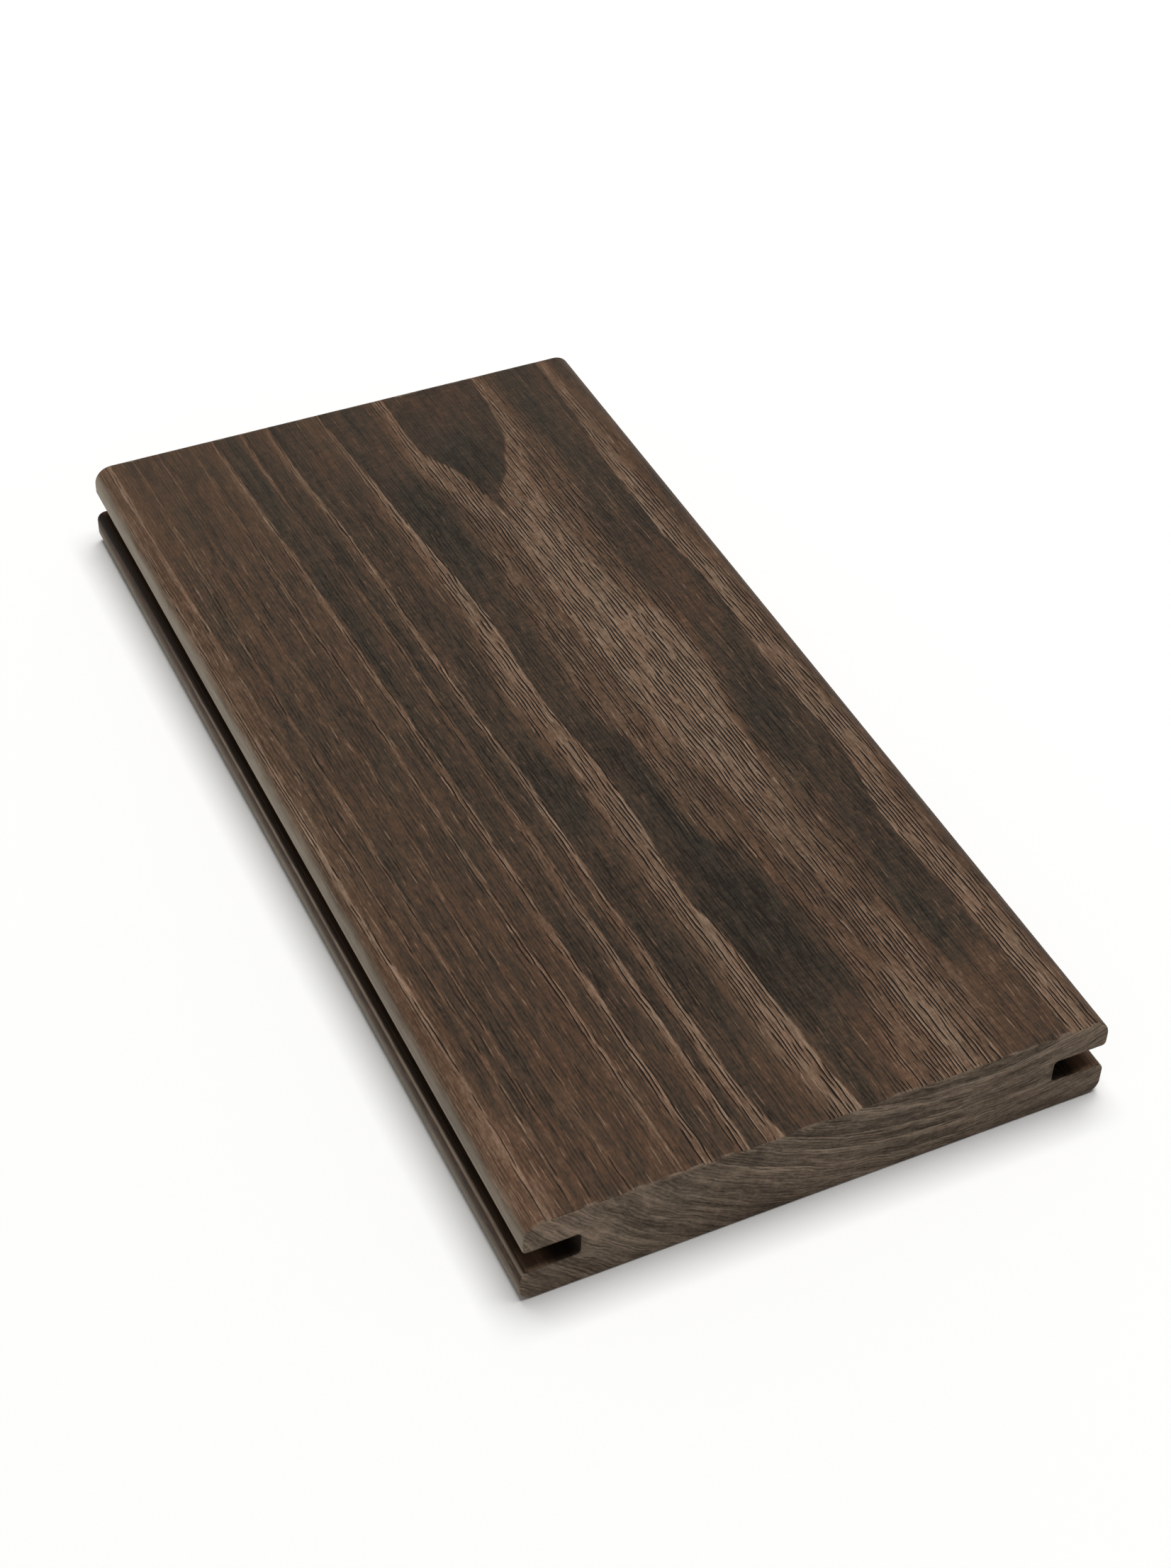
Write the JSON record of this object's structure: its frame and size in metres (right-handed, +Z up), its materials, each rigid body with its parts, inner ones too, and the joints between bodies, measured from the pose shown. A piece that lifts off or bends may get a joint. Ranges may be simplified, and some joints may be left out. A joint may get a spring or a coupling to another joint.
{
  "type": "decking board",
  "caption": "Milled ash decking board with rounded long edges and a clip groove along each side, laid on joists with hidden clips.",
  "frame": {"origin": "middle of the underside", "axes": "+X along the grain, the board's length; +Y across its width; +Z up through the walking face"},
  "size_m": [0.297, 0.15, 0.025],
  "materials": {
    "ash": "heat-darkened open-grained ash, brushed and unvarnished"
  },
  "bodies": {
    "root": {"decking_board": "ash"}
  },
  "joints": []
}
